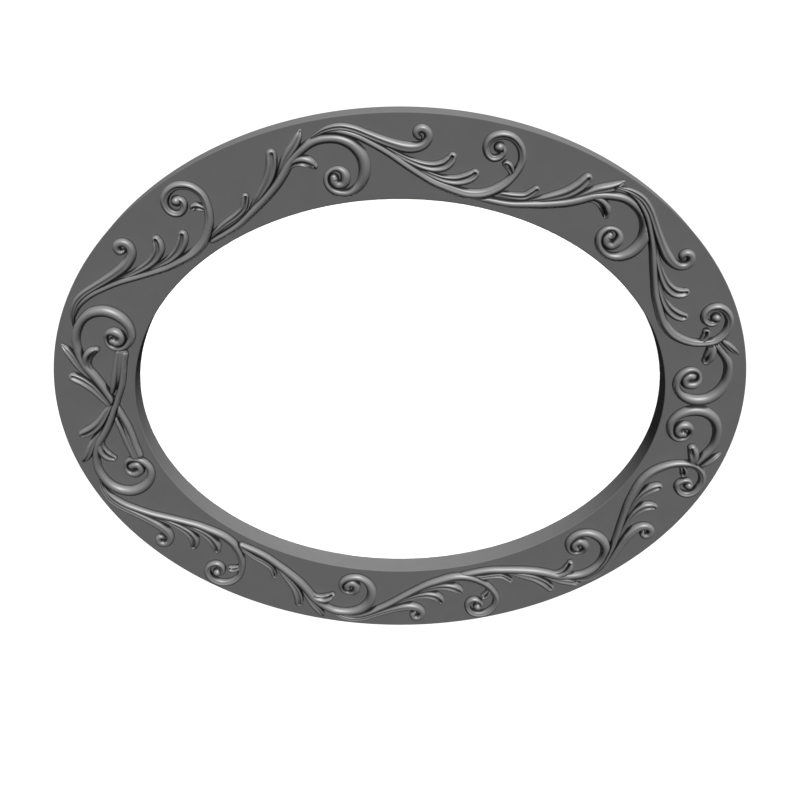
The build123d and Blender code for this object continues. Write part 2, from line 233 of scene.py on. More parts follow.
@dataclass(frozen=True)
class SatinPaint:
    """Charcoal grey paint, rolled on the board and sprayed on the castings."""

    name: str
    grey: float
    roughness: float
    gloss: float
    variation: float = 0.02
    mottle: float = 55.0
    peel: float = 1100.0
    peel_strength: float = 0.12
    peel_depth: float = 0.1
    # Painted shade: how dark the tone is painted in recesses, driven by ambient occlusion; 1.0 paints none.
    painted_shade: float = 1.0
    painted_shade_reach: float = 4.8
    painted_shade_span: tuple[float, float] = (0.6, 0.97)
    painted_shade_samples: int = 12

    def material(self) -> Material:
        """Make the paint as a node material, with a fine orange peel and, where asked, painted shade in its
        recesses.

        Returns:
            The material.
        """
        shade = Shade(self.name)
        here = shade.place()
        low, high = self.grey * (1 - self.variation), self.grey * (1 + self.variation)
        tone = shade.ramp(shade.noise(here, self.mottle, 4.0), [(0.35, (low,) * 3), (0.65, (high,) * 3)])
        # Painted shade in recesses, where asked for.
        if self.painted_shade < 1.0:
            tone = self.with_painted_shade(shade, tone)
        shade.link(tone, shade.skin.inputs["Base Color"])
        shade.set_skin(Roughness=self.roughness, Specular_IOR_Level=self.gloss)
        shade.bump(shade.noise(here, self.peel, 2.0), self.peel_strength, self.peel_depth * MM)
        return shade.material

    def with_painted_shade(self, shade: Shade, tone: Socket) -> Socket:
        """A tone darkened by painted shade in recesses, driven by an ambient occlusion node.

        Args:
            shade: The paint's material.
            tone: The bare tone.

        Returns:
            The glazed tone.
        """
        reach = self.painted_shade_reach * MM
        # Ambient occlusion drives the painted shade in recesses.
        recess = shade.add("ShaderNodeAmbientOcclusion", samples=self.painted_shade_samples, Distance=reach)
        deep, clear = self.painted_shade_span
        painted_shade = shade.ramp(recess.outputs["AO"], [(deep, (self.painted_shade,) * 3), (clear, (1.0,) * 3)])
        mixed = shade.add("ShaderNodeMix", data_type="RGBA", blend_type="MULTIPLY")
        mixed.inputs[0].default_value = 1.0
        shade.link(tone, mixed.inputs[6])
        shade.link(painted_shade, mixed.inputs[7])
        return mixed.outputs[2]


@dataclass(frozen=True)
class Plywood:
    """Sanded birch plywood: grain on its faces, plies on its edges."""

    name: str
    pale: Triple = (0.58, 0.43, 0.27)
    dark: Triple = (0.40, 0.27, 0.15)
    ply_thickness: float = 1.7
    grain_stretch: Triple = (1.6, 30.0, 30.0)
    fibres: float = 60.0
    fibre_strength: float = 0.25
    fibre_depth: float = 0.2
    roughness: float = 0.62

    def material(self) -> Material:
        """Make the wood as a node material.

        Returns:
            The material.
        """
        shade = Shade(self.name)
        grain_at = shade.place(self.grain_stretch)
        rings = shade.add("ShaderNodeTexWave", Scale=1.3, Distortion=7.0, Detail=3.0, Detail_Scale=1.2)
        rings.bands_direction = "Z"
        shade.link(grain_at, rings.inputs["Vector"])
        face = shade.ramp(rings.outputs["Fac"], [(0.1, self.dark), (0.55, self.pale)])
        bands = 1.0 / (self.ply_thickness * MM)
        across = shade.add("ShaderNodeTexWave", Scale=bands / WAVE_BANDS_PER_SCALE, Distortion=0.3)
        across.bands_direction = "Y"
        shade.link(shade.place(), across.inputs["Vector"])
        edge = shade.ramp(across.outputs["Fac"], [(0.4, self.dark), (0.6, self.pale)])
        where = shade.add("ShaderNodeTexCoord")
        split = shade.add("ShaderNodeSeparateXYZ")
        shade.link(where.outputs["Normal"], split.inputs["Vector"])
        flat = shade.add("ShaderNodeMath", operation="ABSOLUTE")
        shade.link(split.outputs["Y"], flat.inputs[0])
        shade.link(shade.blend(flat.outputs["Value"], edge, face), shade.skin.inputs["Base Color"])
        shade.set_skin(Roughness=self.roughness)
        shade.bump(shade.noise(grain_at, self.fibres, 4.0), self.fibre_strength, self.fibre_depth * MM)
        return shade.material


@dataclass(frozen=True)
class Sheet:
    """A sheet of card, foam board or hardboard: one tone with specks and a faint tooth."""

    name: str
    light: Triple
    dark: Triple
    specks: float
    roughness: float
    tooth: float
    tooth_depth: float = 0.1
    teeth_to_speck: float = 3.0
    gloss: float = 0.25

    def material(self) -> Material:
        """Make the sheet as a node material.

        Returns:
            The material.
        """
        shade = Shade(self.name)
        here = shade.place()
        tone = shade.ramp(shade.noise(here, self.specks, 6.0), [(0.38, self.dark), (0.6, self.light)])
        shade.link(tone, shade.skin.inputs["Base Color"])
        shade.set_skin(Roughness=self.roughness, Specular_IOR_Level=self.gloss)
        teeth = shade.noise(here, self.specks * self.teeth_to_speck, 3.0)
        shade.bump(teeth, self.tooth, self.tooth_depth * MM)
        return shade.material


@dataclass(frozen=True)
class PictureGlass:
    """Thin clear glass that reflects a little at a slant and passes little scattered light."""

    name: str
    tint: Triple = (0.985, 0.992, 0.988)
    bounce: float = 0.03
    ior: float = 1.5
    roughness: float = 0.02
    smears: float = 14.0
    smear_gloss: float = 0.03

    def material(self) -> Material:
        """Make the glass as a node material.

        Returns:
            The material.
        """
        shade = Shade(self.name)
        shade.skin.inputs["Base Color"].default_value = (*self.tint, 1.0)
        shade.set_skin(Roughness=self.roughness, IOR=self.ior)
        path = shade.add("ShaderNodeLightPath")
        clear = shade.add("ShaderNodeBsdfTransparent")
        through = shade.ramp(path.outputs["Is Diffuse Ray"], [(0.0, self.tint), (1.0, (self.bounce,) * 3)])
        shade.link(through, clear.inputs["Color"])
        slant = shade.add("ShaderNodeFresnel", IOR=self.ior)
        smears = shade.noise(shade.place(), self.smears, 5.0)
        smear = shade.ramp(smears, [(0.3, (0.0,) * 3), (0.7, (self.smear_gloss,) * 3)])
        gloss = shade.add("ShaderNodeMath", operation="ADD", use_clamp=True)
        shade.link(slant.outputs["Fac"], gloss.inputs[0])
        shade.link(smear, gloss.inputs[1])
        mix = shade.add("ShaderNodeMixShader")
        shade.link(gloss.outputs["Value"], mix.inputs["Fac"])
        shade.link(clear.outputs["BSDF"], mix.inputs[1])
        shade.link(shade.skin.outputs["BSDF"], mix.inputs[2])
        shade.link(mix.outputs["Shader"], shade.output.inputs["Surface"])
        return shade.material


@dataclass(frozen=True)
class ZincPlate:
    """Zinc-plated steel with a faint spangle and fine scratches."""

    name: str
    light: Triple = (0.66, 0.65, 0.63)
    dark: Triple = (0.48, 0.47, 0.45)
    roughness: float = 0.32
    spangle: float = 420.0
    scratches: float = 500.0
    scratch_stretch: Triple = (1.0, 1.0, 14.0)
    scratch_strength: float = 0.15
    scratch_depth: float = 0.05

    def material(self) -> Material:
        """Make the plate as a node material.

        Returns:
            The material.
        """
        shade = Shade(self.name)
        here = shade.place()
        tone = shade.ramp(shade.noise(here, self.spangle, 4.0), [(0.3, self.dark), (0.65, self.light)])
        shade.link(tone, shade.skin.inputs["Base Color"])
        shade.set_skin(Metallic=1.0, Roughness=self.roughness)
        scratches = shade.noise(shade.place(self.scratch_stretch), self.scratches, 2.0)
        shade.bump(scratches, self.scratch_strength, self.scratch_depth * MM)
        return shade.material


@dataclass(frozen=True)
class BumperRubber:
    """Matt black rubber."""

    name: str
    light: float = 0.034
    dark: float = 0.018
    roughness: float = 0.7
    clouds: float = 300.0
    pores: float = 1500.0
    pore_strength: float = 0.3
    pore_depth: float = 0.1

    def material(self) -> Material:
        """Make the rubber as a node material.

        Returns:
            The material.
        """
        shade = Shade(self.name)
        here = shade.place()
        clouds = shade.noise(here, self.clouds, 4.0)
        tone = shade.ramp(clouds, [(0.3, (self.dark,) * 3), (0.7, (self.light,) * 3)])
        shade.link(tone, shade.skin.inputs["Base Color"])
        shade.set_skin(Roughness=self.roughness)
        shade.bump(shade.noise(here, self.pores, 2.0), self.pore_strength, self.pore_depth * MM)
        return shade.material


def verts_of(geom: list) -> list[bmesh.types.BMVert]:
    """The vertices among the elements that an operator gives back."""
    return [item for item in geom if isinstance(item, bmesh.types.BMVert)]


def make_piece(name: str, bm: Mesh, material: Material, crease_deg: float = FLAT_CREASE) -> bpy.types.Object:
    """Write a bmesh, drawn in millimetres, to a new object at the origin.

    Args:
        name: Name of the piece.
        bm: The mesh; it is freed.
        material: Its finish.
        crease_deg: Edges bent by more than this stay sharp.

    Returns:
        The new object.
    """
    bmesh.ops.remove_doubles(bm, verts=bm.verts, dist=WELD)
    bmesh.ops.recalc_face_normals(bm, faces=bm.faces)
    bmesh.ops.scale(bm, vec=(MM, MM, MM), verts=bm.verts)
    mesh = bpy.data.meshes.new(name)
    bm.to_mesh(mesh)
    bm.free()
    mesh.materials.append(material)
    mesh.shade_smooth()
    mesh.set_sharp_from_angle(angle=math.radians(crease_deg))
    piece = bpy.data.objects.new(name, mesh)
    bpy.context.scene.collection.objects.link(piece)
    return piece


def settle(piece: bpy.types.Object, body: str, node: str) -> None:
    """Tie a piece to its body and the solid that it stands for.

    Args:
        piece: The piece.
        body: Body that it rides on.
        node: Solid that it replaces.
    """
    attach(piece, body)
    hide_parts(node)
    log.info("%s rides on %s", piece.name, body)


@dataclass(frozen=True)
class Oval:
    """An ellipse in the plane of the frame."""

    width: float
    height: float

    def grown(self, step: float) -> "Oval":
        """The oval with a step added all round."""
        return Oval(self.width + 2 * step, self.height + 2 * step)

    def normal(self, angle: float) -> Vector:
        """Outward direction at a parameter angle in degrees, as (x, z)."""
        turn = math.radians(angle)
        return Vector((math.cos(turn) * self.height, math.sin(turn) * self.width)).normalized()

    def point(self, angle: float, out: float = 0.0) -> Vector:
        """Point of the oval or beside it.

        Args:
            angle: Parameter angle in degrees.
            out: How far it lies outside.

        Returns:
            The point as (x, z).
        """
        turn = math.radians(angle)
        rim = Vector((self.width / 2 * math.cos(turn), self.height / 2 * math.sin(turn)))
        return rim + self.normal(angle) * out

    def loop(self, bm: Mesh, depth: float, segments: int, filled: bool = False) -> None:
        """Add the oval to a bmesh as a closed loop.

        Args:
            bm: The mesh.
            depth: Its Y.
            segments: Number of edges.
            filled: Whether it gets a face.
        """
        lay = Matrix.Translation((0, depth, 0)) @ Matrix.Rotation(math.pi / 2, 4, "X")
        shape = lay @ Matrix.Diagonal((self.width / 2, self.height / 2, 1, 1))
        bmesh.ops.create_circle(bm, cap_ends=filled, segments=segments, radius=1.0, matrix=shape)


def raise_walls(bm: Mesh, depth: float) -> None:
    """Extrude every face of a flat bmesh along Y into a solid."""
    grown = bmesh.ops.extrude_face_region(bm, geom=list(bm.faces))
    bmesh.ops.translate(bm, vec=(0, depth, 0), verts=verts_of(grown["geom"]))


def bevel(bm: Mesh, edges: Edges, radius: float, segments: int) -> None:
    """Round some edges by a radius in a number of steps."""
    bmesh.ops.bevel(
        bm,
        geom=edges,
        offset=radius,
        offset_type="OFFSET",
        segments=segments,
        profile=0.5,
        affect="EDGES",
        material=-1,
    )


def soften(bm: Mesh, radius: float, segments: int, sharper_than: float = 50.0) -> None:
    """Round every edge that is bent by more than an angle.

    Args:
        bm: The mesh.
        radius: Width of the rounding.
        segments: Steps of it.
        sharper_than: Angle in degrees.
    """
    bmesh.ops.recalc_face_normals(bm, faces=bm.faces)
    limit = math.radians(sharper_than)
    edges = [edge for edge in bm.edges if len(edge.link_faces) == 2 and edge.calc_face_angle(0.0) > limit]
    bevel(bm, edges, radius, segments)


@dataclass(frozen=True)
class Layout:
    """Driving sizes of the frame, as in its solids."""

    outer: Oval = Oval(646.0, 539.0)
    sight: Oval = Oval(496.0, 394.0)
    face_thickness: float = 22.0
    rebate_lip: float = 6.0
    package_side_gap: float = 1.5
    rebate_inset: float = 12.0
    back_face: float = 7.0
    rebate_depth: float = 12.1

    @property
    def joint_face(self) -> float:
        """Depth of the joint between the two rings, forward of the wall."""
        return self.back_face + self.rebate_depth

    @property
    def front_face(self) -> float:
        """Depth of the flat face, forward of the wall."""
        return self.joint_face + self.face_thickness

    @property
    def rebate(self) -> Oval:
        """Outline of the rebate ring."""
        return self.outer.grown(-self.rebate_inset)

    @property
    def glass(self) -> Oval:
        """Outline of the glass and of the sheets behind it."""
        return self.sight.grown(self.rebate_lip)

    @property
    def pocket(self) -> Oval:
        """Inside of the rebate ring."""
        return self.glass.grown(self.package_side_gap)

    @property
    def rebate_middle(self) -> Oval:
        """Line midway across the rebate ring."""
        outside, inside = self.rebate, self.pocket
        return Oval((outside.width + inside.width) / 2, (outside.height + inside.height) / 2)


@dataclass
class Rings:
    """The face board and the rebate ring behind it."""

    layout: Layout
    segments: int = 288
    arris: float = 0.8
    back_arris: float = 0.5
    arris_steps: int = 3

    def ring(self, outer: Oval, inner: Oval, back: float, front: float, arris: float) -> Mesh:
        """A flat oval ring.

        Args:
            outer: Its outline.
            inner: Its opening.
            back: Depth of its back, forward of the wall.
            front: Depth of its front.
            arris: Rounding of its edges.

        Returns:
            Its mesh.
        """
        bm = bmesh.new()
        outer.loop(bm, -back, self.segments)
        inner.loop(bm, -back, self.segments)
        bmesh.ops.bridge_loops(bm, edges=list(bm.edges))
        raise_walls(bm, back - front)
        soften(bm, arris, self.arris_steps)
        return bm

    def build(self, paint: Material, wood: Material) -> None:
        """Make both rings and dress them.

        Args:
            paint: Finish of the face board.
            wood: Finish of the rebate ring.
        """
        lay = self.layout
        board = self.ring(lay.outer, lay.sight, lay.joint_face, lay.front_face, self.arris)
        settle(make_piece("face_board", board, paint), FIXED, "face_ring")
        rebate = self.ring(lay.rebate, lay.pocket, lay.back_face, lay.joint_face, self.back_arris)
        settle(make_piece("rebate_board", rebate, wood), FIXED, "rebate_ring")


@dataclass
class Package:
    """The glass and the sheets behind it."""

    layout: Layout
    segments: int = 224
    glass_thickness: float = 2.0
    card_thickness: float = 1.8
    filler_thickness: float = 5.0
    backing_thickness: float = 3.0
    arris: float = 0.25
    arris_steps: int = 2

    def build(self, finishes: dict[str, Material]) -> None:
        """Make the sheets from the glass back.

        Args:
            finishes: Material of each slot.
        """
        front = self.layout.joint_face
        for name, node, thickness, slot in (
            ("glass_sheet", "glass_pane", self.glass_thickness, "clear_glass"),
            ("card_sheet", "picture_card", self.card_thickness, "white_card"),
            ("foam_sheet", "filler_board", self.filler_thickness, "foam_board"),
            ("backing_sheet", "backing_board", self.backing_thickness, "hardboard"),
        ):
            bm = bmesh.new()
            self.layout.glass.loop(bm, -front, self.segments, filled=True)
            raise_walls(bm, thickness)
            soften(bm, self.arris, self.arris_steps)
            settle(make_piece(name, bm, finishes[slot]), FIXED, node)
            front -= thickness


@dataclass(frozen=True)
class Groove:
    """A groove along a ridge, as shares of the ridge's half width and height."""

    at: float = 0.0
    width: float = 0.3
    root_depth: float = 0.0
    tip_depth: float = 0.0
    onset: float = 1.0


@dataclass(frozen=True)
class Stroke:
    """One ridge of a casting, as knots of (along, across, half width) from a volute's eye."""

    knots: tuple[Triple, ...]
    groove: Groove
    fullness: float = 2.3
    lift: float = 1.0

    def height(self, side: float, cap: float, run: float) -> float:
        """Height over the face as a share of the crest.

        Args:
            side: Place across, -1 to 1 between the outlines, positive on the left hand.
            cap: Place in the rounded cap, 0 at the stroke's end and 1 at its very tip.
            run: 0 at the stroke's root, 1 at its tip.

        Returns:
            The share.
        """
        slim = math.sqrt(max(0.0, 1.0 - cap**2))
        reach = min(1.0, math.hypot(side * slim, cap))
        dome = (1.0 - reach**self.fullness) ** (1.0 / self.fullness)
        groove = self.groove
        off = math.hypot(side * slim - groove.at, cap) / groove.width
        depth = groove.root_depth + (groove.tip_depth - groove.root_depth) * run**groove.onset
        return self.lift * dome * (1.0 - depth * math.exp(-(off**2)))


# Fullness of a leaf's cross-section, fuller than a stem's.
LEAFY = 3.0

# Radii of the arcs that the castings are drawn on, one for each stretch of the oval.
END_RADIUS = 195.0
SIDE_RADIUS = 245.0
CROWN_RADIUS = 320.0

# Strokes of the scroll and of the frond, as knots of (along, across, half width).
SCROLL_TAIL = (
    (-130.5, -26.8, 2.8), (-115, -27.2, 3.2), (-100, -25.8, 3.4), (-85, -21.5, 3.7),
    (-70, -15.8, 4.0), (-55, -8, 4.3), (-45, -0.5, 4.3),
)
SCROLL_CROOK = (
    (-36, 8, 4.2), (-25, 14.8, 4.0), (-12, 19.6, 4.0), (3, 18.6, 4.2), (14, 13, 4.9), (21, 4, 5.3),
    (23.2, -5, 5.3), (22, -14, 5.0), (17, -22, 4.2), (8, -26.8, 3.6), (-1, -26.3, 3.5),
    (-8, -22.4, 3.2), (-11.2, -16, 2.8), (-9.4, -9.4, 2.4), (-3.6, -5.9, 2.2), (2.6, -6.8, 3.0),
    (6, -11.8, 4.3), (4, -18.6, 4.2), (-2, -19.2, 4.2), (-4.4, -15.6, 4.2), (-4, -12.6, 3.8),
)
SHORT_CROOK = ((-30.5, 11.4, 3.6),)
SHORT_UPPER_LEAF = ((-33, 17.5, 2.4), (-28, 21.3, 3.2), (-22.5, 25.4, 3.0), (-17.8, 29.4, 1.5))
SHORT_LOWER_LEAF = ((-34, 7, 3.2), (-27.5, 6.4, 4.8), (-21.4, 3.6, 5.1), (-17.6, 0.6, 4.0))
END_TAIL = (
    (-138.8, -25.3, 3.4), (-127, -25.8, 3.4), (-115, -26.4, 3.2), (-100, -25.4, 3.2),
    (-85, -21.5, 3.2), (-70, -15.8, 3.6), (-55, -8, 4.0), (-45, -0.5, 4.2),
)
UPPER_LEAF = (
    (-54, -5.5, 1.4), (-47, 2.5, 2.6), (-41, 9.3, 3.7), (-35, 15.2, 4.4), (-29, 20.5, 4.4),
    (-24.6, 26, 3.4), (-22.2, 30, 1.7),
)
LOWER_LEAF = (
    (-55, -8.6, 1.2), (-47, -2.6, 2.2), (-40.5, 3, 3.2), (-34, 6.6, 4.0), (-26.5, 6.4, 4.8),
    (-20.8, 3.2, 4.6), (-17.9, 0, 3.2),
)
NEAR_TENDRIL = (
    (-84, -18, 1.5), (-70, -9.5, 3.4), (-58, 0, 4.6), (-51.8, 9, 5.0), (-49.4, 15.4, 4.8),
    (-48.6, 18.4, 4.3),
)
END_WEB = (
    (-138.6, -22.5, 5.8), (-128, -22.7, 5.4), (-116, -22.6, 4.6), (-104, -21.4, 2.8),
    (-95, -19.8, 1.4),
)
FAR_TENDRIL = (
    (-131, -22.6, 2.2), (-120, -21.2, 2.7), (-110, -19.6, 3.0), (-99, -18.2, 3.1),
    (-89.5, -15.3, 3.2), (-85, -10.5, 3.3), (-82.6, -6.8, 3.0),
)
END_TENDRIL = (
    (-138.8, -19.6, 3.3), (-126, -19.6, 3.4), (-112, -19.2, 3.4), (-101, -18.2, 3.2),
    (-92, -16.6, 2.6),
)
SCROLL_EYE = (-3.8, -13.6, 4.2)
FROND_STEM = (
    (-80, 25.4, 1.2), (-66, 24.8, 2.4), (-52, 19.5, 3.1), (-40, 12, 3.2), (-27, 3.5, 3.3),
    (-13, -6.3, 3.4), (1.5, -14.7, 3.5), (13, -20, 3.8), (25, -23.2, 4.2), (36.5, -25.4, 4.4),
    (46, -25.8, 4.4), (58, -23.2, 4.4), (68, -17, 4.2), (76, -8, 3.8), (80.5, 3, 3.6),
    (81.2, 12, 3.5), (76.8, 21.5, 3.6), (68.5, 27.3, 3.8), (60, 27.3, 3.9), (53.2, 23, 3.8),
    (50.8, 16, 3.3), (53, 9.8, 3.2), (58, 7.2, 3.2), (63.4, 10, 3.2), (64.8, 14.8, 3.0),
    (62.5, 18.5, 2.6),
)
FROND_BUD = (
    (-84, 23.4, 1.2), (-73, 27.2, 2.6), (-62, 27.6, 3.2), (-52, 24.3, 3.5), (-42, 19, 3.6),
    (-32, 14, 4.0), (-22, 10, 4.4), (-13, 7.6, 4.9), (-5, 7.5, 4.6), (1.5, 10, 4.1), (5, 15.2, 3.8),
    (4, 20.6, 3.8), (-0.4, 23.2, 3.8), (-4.2, 20.8, 3.5), (-4, 17, 3.0), (-1.8, 15.6, 2.4),
)
NEAR_TWIG = (
    (-31, 9, 1.2), (-18, 1.2, 2.4), (-7, -3.8, 3.0), (3, -6.8, 3.8), (12, -7.4, 4.6), (20, -5, 5.1),
    (24.4, -0.4, 4.7), (25.7, 2.8, 3.8),
)
FAR_TWIG = (
    (-9, -7, 1.2), (3, -11.5, 2.2), (13, -14.8, 2.8), (23, -16.7, 3.7), (33, -16.2, 4.6),
    (41.2, -13, 5.0), (45.6, -9.6, 4.6), (46.8, -8, 4.0),
)
THORN = ((79, -4, 2.0), (76, 1, 3.1), (72.4, 4.6, 3.7), (69.8, 5.6, 3.3))
FROND_EYE = (60.8, 17.2, 4.9)


@dataclass(frozen=True)
class Station:
    """One cross-section of a ridge: where it is and how far it has run."""

    centre: Vector
    across: Vector
    half: float
    cap: float
    run: float


@dataclass
class Casting:
    """A casting of the ornament, drawn along an arc and laid on the face."""

    strokes: tuple[Stroke, ...]
    eye: Triple
    drawn_scale: float
    drawn_radius: float = CROWN_RADIUS
    relief_foot: float = 3.2
    relief_rise: float = 0.9
    slim_foot: float = 0.2
    slim_rise: float = 1.9
    root: float = 0.6
    thinnest: float = 0.3
    step: float = 1.4
    fewest_steps: int = 8
    columns: int = 18
    cap_rows: int = 6
    knot_steps: int = 24
    bead_segments: int = 28
    bead_rings: int = 18

    def on_arc(self, along: float, across: float) -> Vector:
        """Flat point of the casting.

        Args:
            along: Place along the arc that it is drawn on.
            across: Place across that arc, positive outward.

        Returns:
            The point as (x, y).
        """
        turn = along / self.drawn_radius
        reach = self.drawn_radius + across
        spot = Vector((reach * math.sin(turn), reach * math.cos(turn) - self.drawn_radius))
        return spot * self.drawn_scale

    def crest(self, half: float) -> float:
        """Height of a ridge over the face.

        Args:
            half: Half its width, as drawn.

        Returns:
            The height.
        """
        wide = self.relief_foot + self.relief_rise * half
        slim = self.slim_foot + self.slim_rise * half
        return min(wide, slim) * self.drawn_scale

    def trace(self, stroke: Stroke) -> list[Vector]:
        """A smooth line through a stroke's knots, as (x, y, half width) close together.

        Args:
            stroke: The stroke.

        Returns:
            Points of the line.
        """
        scale = self.drawn_scale
        knots = [Vector((*self.on_arc(along, across), half * scale)) for along, across, half in stroke.knots]
        gaps = [(after - before).length for before, after in zip(knots, knots[1:])]
        slopes = []
        for k in range(len(knots)):
            first, last = max(0, k - 1), min(len(knots) - 1, k + 1)
            slopes.append((knots[last] - knots[first]) / sum(gaps[first:last]))
        line = []
        for k, gap in enumerate(gaps):
            reach = gap / 3
            handle, next_handle = knots[k] + slopes[k] * reach, knots[k + 1] - slopes[k + 1] * reach
            line += interpolate_bezier(knots[k], handle, next_handle, knots[k + 1], self.knot_steps)[:-1]
        return [*line, knots[-1]]

    def stations(self, stroke: Stroke) -> list[Station]:
        """Even cross-sections along a stroke, with a rounded cap at each end.

        Args:
            stroke: The stroke.

        Returns:
            Its stations from root to tip.
        """
        line = self.trace(stroke)
        travel = [0.0]
        for before, after in zip(line, line[1:]):
            travel.append(travel[-1] + (after.xy - before.xy).length)
        count = max(self.fewest_steps, round(travel[-1] / self.step))
        body, k = [], 0
        for n in range(count + 1):
            target = travel[-1] * n / count
            while k < len(line) - 2 and travel[k + 1] < target:
                k += 1
            share = (target - travel[k]) / (travel[k + 1] - travel[k])
            here = line[k].lerp(line[k + 1], share)
            ahead = (line[min(k + 2, len(line) - 1)] - line[max(k - 1, 0)]).xy.normalized()
            across = Vector((-ahead.y, ahead.x))
            body.append(Station(here.xy, across, max(here.z, self.thinnest), 0.0, n / count))
        caps = [math.sin(math.pi / 2 * (n + 1) / self.cap_rows) for n in range(self.cap_rows)]
        first, last = body[0], body[-1]
        start = [self.capped(first, -cap) for cap in reversed(caps)]
        return start + body + [self.capped(last, cap) for cap in caps]

    def capped(self, end: Station, cap: float) -> Station:
        """A station in the rounded cap beyond an end, by a share of the end's half width."""
        ahead = Vector((end.across.y, -end.across.x))
        return Station(end.centre + ahead * end.half * cap, end.across, end.half, abs(cap), end.run)

    def ridge(self, bm: Mesh, stroke: Stroke) -> None:
        """Add one ridge: a grid bent along the stroke and closed under the face.

        Args:
            bm: The casting's mesh.
            stroke: The stroke.
        """
        rows = self.stations(stroke)
        sides = [-math.cos(math.pi * k / self.columns) for k in range(self.columns + 1)]
        rail = [(0.0, True), (-1.0, True), *[(side, False) for side in sides], (1.0, True), (0.0, True)]
        grid = bmesh.ops.create_grid(bm, x_segments=len(rows) - 1, y_segments=len(rail) - 1, size=1.0)
        for vert in grid["verts"]:
            row = rows[round((vert.co.x + 1) / 2 * (len(rows) - 1))]
            side, under = rail[round((vert.co.y + 1) / 2 * (len(rail) - 1))]
            slim = math.sqrt(max(0.0, 1.0 - row.cap**2))
            spot = row.centre + row.across * (side * row.half * slim)
            crest = self.crest(row.half / self.drawn_scale)
            rise = -self.root if under else crest * stroke.height(side, row.cap, row.run)
            vert.co = (spot.x, spot.y, rise)

    def bead(self, bm: Mesh) -> None:
        """Add the bead at the heart of the volute."""
        along, across, radius = self.eye
        spot = self.on_arc(along, across)
        wide = radius * self.drawn_scale
        lay = Matrix.Translation((spot.x, spot.y, 0)) @ Matrix.Diagonal((wide, wide, self.crest(radius), 1))
        ball = bmesh.ops.create_uvsphere(
            bm, u_segments=self.bead_segments, v_segments=self.bead_rings, radius=1.0, matrix=lay
        )
        for vert in ball["verts"]:
            vert.co.z = max(vert.co.z, -self.root)

    def mesh(self) -> Mesh:
        """All the ridges of the casting and its bead, flat on the plane that it is drawn on."""
        bm = bmesh.new()
        for stroke in self.strokes:
            self.ridge(bm, stroke)
        self.bead(bm)
        bmesh.ops.remove_doubles(bm, verts=bm.verts, dist=WELD)
        bmesh.ops.dissolve_degenerate(bm, dist=SLIVER, edges=bm.edges)
        bmesh.ops.recalc_face_normals(bm, faces=bm.faces)
        return bm


